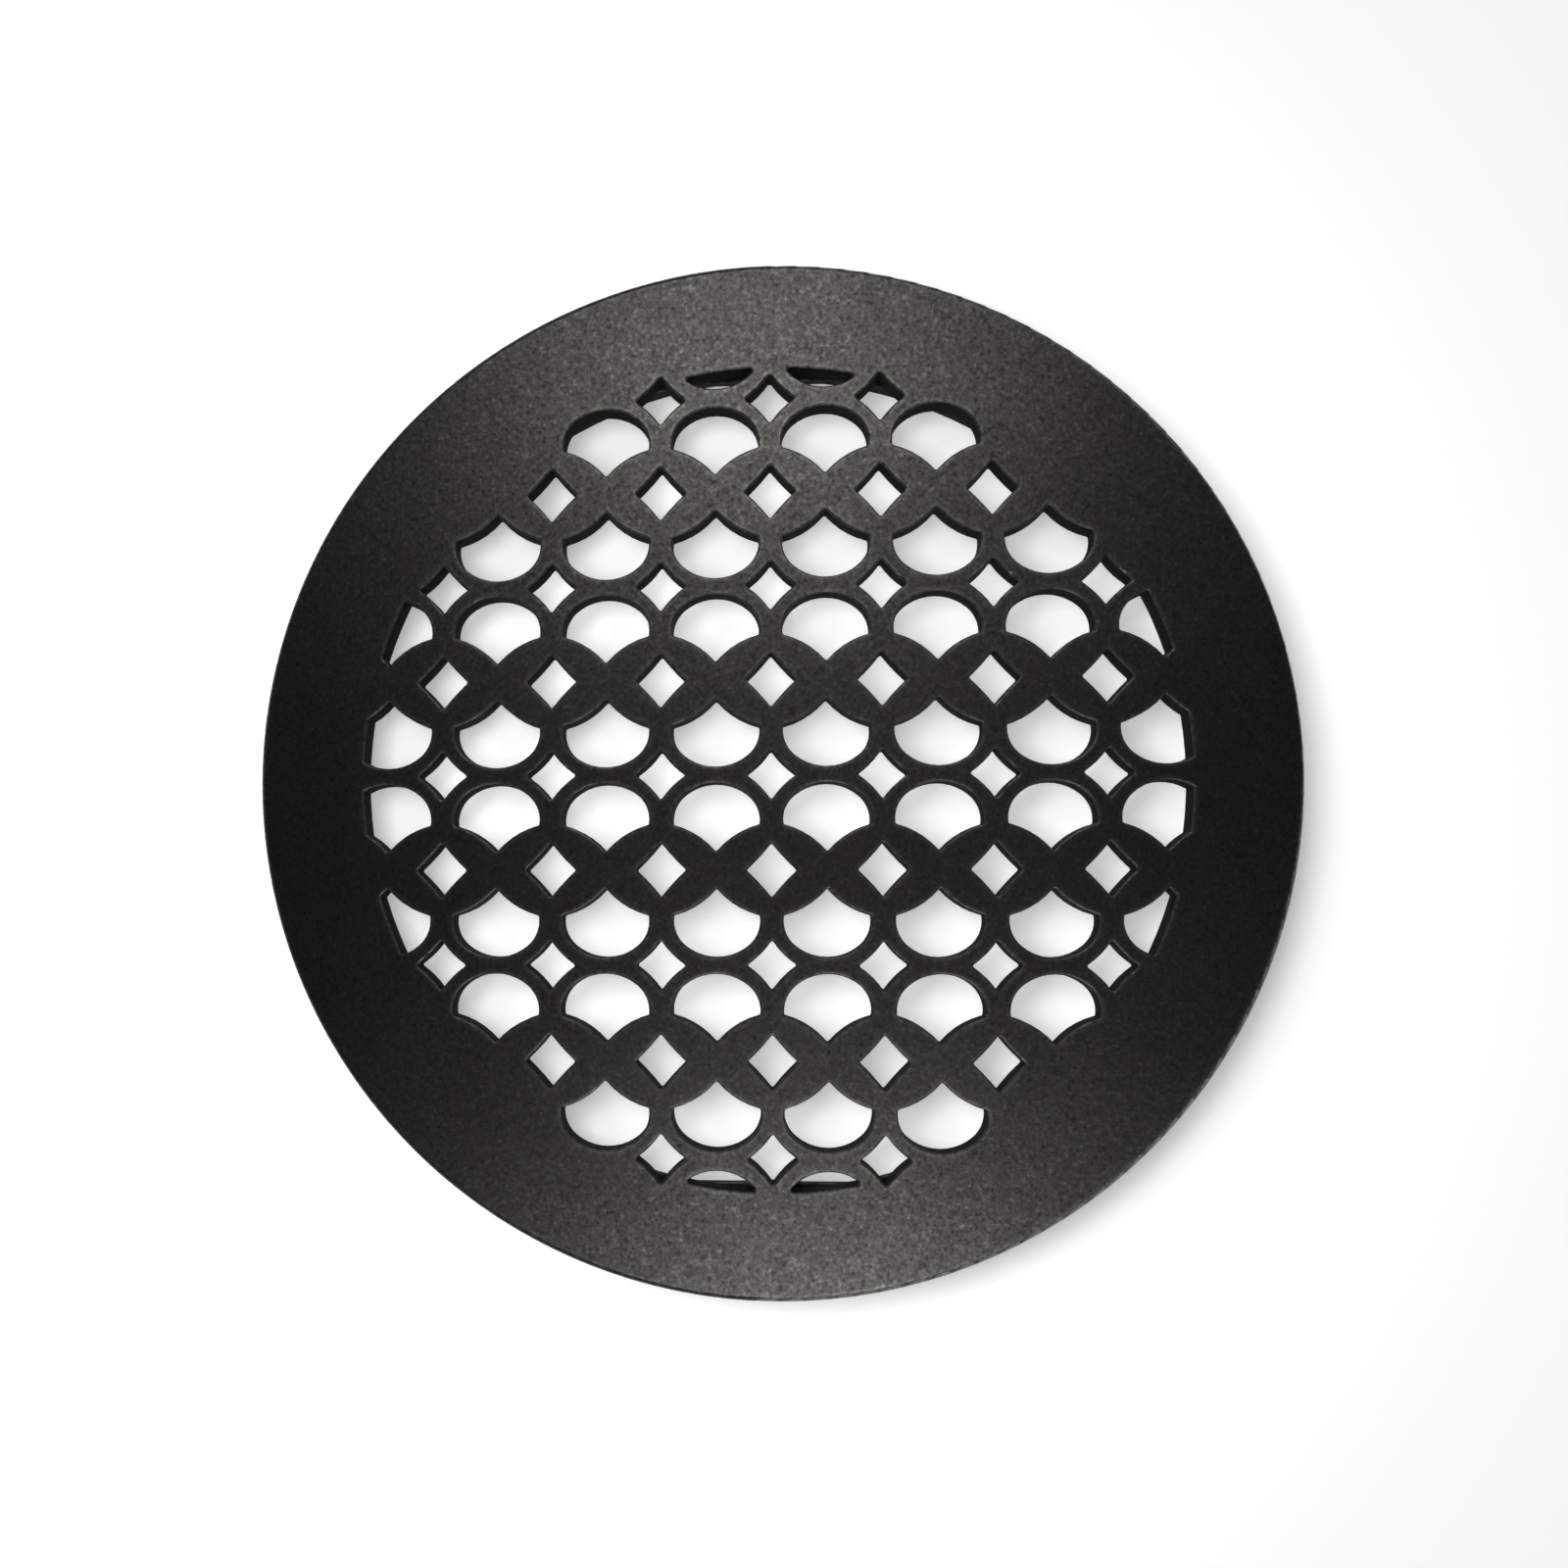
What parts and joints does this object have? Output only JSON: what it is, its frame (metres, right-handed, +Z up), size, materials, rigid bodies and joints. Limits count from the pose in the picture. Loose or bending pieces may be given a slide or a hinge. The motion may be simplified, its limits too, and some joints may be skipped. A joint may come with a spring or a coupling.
{
  "type": "floor drain grate",
  "caption": "Round pierced cover plate with fan and diamond openings, on a short collar whose spring clips grip a floor drain's throat.",
  "frame": {"origin": "on the plate's axis, in the plane of the gasket's underside, which is the finished floor's surface when the grate is fitted", "axes": "+Z up out of the walking face, +X along the rows of openings, +Y across them"},
  "size_m": [0.254, 0.254, 0.0288],
  "materials": {
    "textured_black": "fine-textured matte black powder coat with a faint bronze warmth",
    "collar_black": "satin black coat",
    "gasket_rubber": "matte moulded rubber",
    "spring_steel": "rolled stainless spring strip",
    "stainless": "stainless fasteners"
  },
  "bodies": {
    "grate": {"face_plate": "textured_black", "collar": "collar_black", "rim_gasket": "gasket_rubber", "mount_screw_1": "stainless", "mount_screw_2": "stainless", "mount_screw_3": "stainless", "mount_screw_4": "stainless", "lock_washer_1": "stainless", "lock_washer_2": "stainless", "lock_washer_3": "stainless", "lock_washer_4": "stainless", "clip_foot_right": "spring_steel", "clip_rivet_right_a": "stainless", "clip_rivet_right_b": "stainless", "clip_foot_back": "spring_steel", "clip_rivet_back_a": "stainless", "clip_rivet_back_b": "stainless", "clip_foot_left": "spring_steel", "clip_rivet_left_a": "stainless", "clip_rivet_left_b": "stainless", "clip_foot_front": "spring_steel", "clip_rivet_front_a": "stainless", "clip_rivet_front_b": "stainless"},
    "leaf_right": {"spring_leaf_right": "spring_steel"},
    "leaf_back": {"spring_leaf_back": "spring_steel"},
    "leaf_left": {"spring_leaf_left": "spring_steel"},
    "leaf_front": {"spring_leaf_front": "spring_steel"}
  },
  "joints": [
    {"name": "leaf_right_flex", "type": "hinge", "parent": "grate", "child": "leaf_right", "pos_m": [0.112, 0, -0.0124], "axis": [0, -1, 0], "range_deg": [0, 11], "stiffness_Nm_per_rad": 0.8},
    {"name": "leaf_back_flex", "type": "hinge", "parent": "grate", "child": "leaf_back", "pos_m": [0, 0.112, -0.0124], "axis": [1, 0, 0], "range_deg": [0, 11], "stiffness_Nm_per_rad": 0.8},
    {"name": "leaf_left_flex", "type": "hinge", "parent": "grate", "child": "leaf_left", "pos_m": [-0.112, 0, -0.0124], "axis": [0, 1, 0], "range_deg": [0, 11], "stiffness_Nm_per_rad": 0.8},
    {"name": "leaf_front_flex", "type": "hinge", "parent": "grate", "child": "leaf_front", "pos_m": [0, -0.112, -0.0124], "axis": [-1, 0, 0], "range_deg": [0, 11], "stiffness_Nm_per_rad": 0.8}
  ]
}
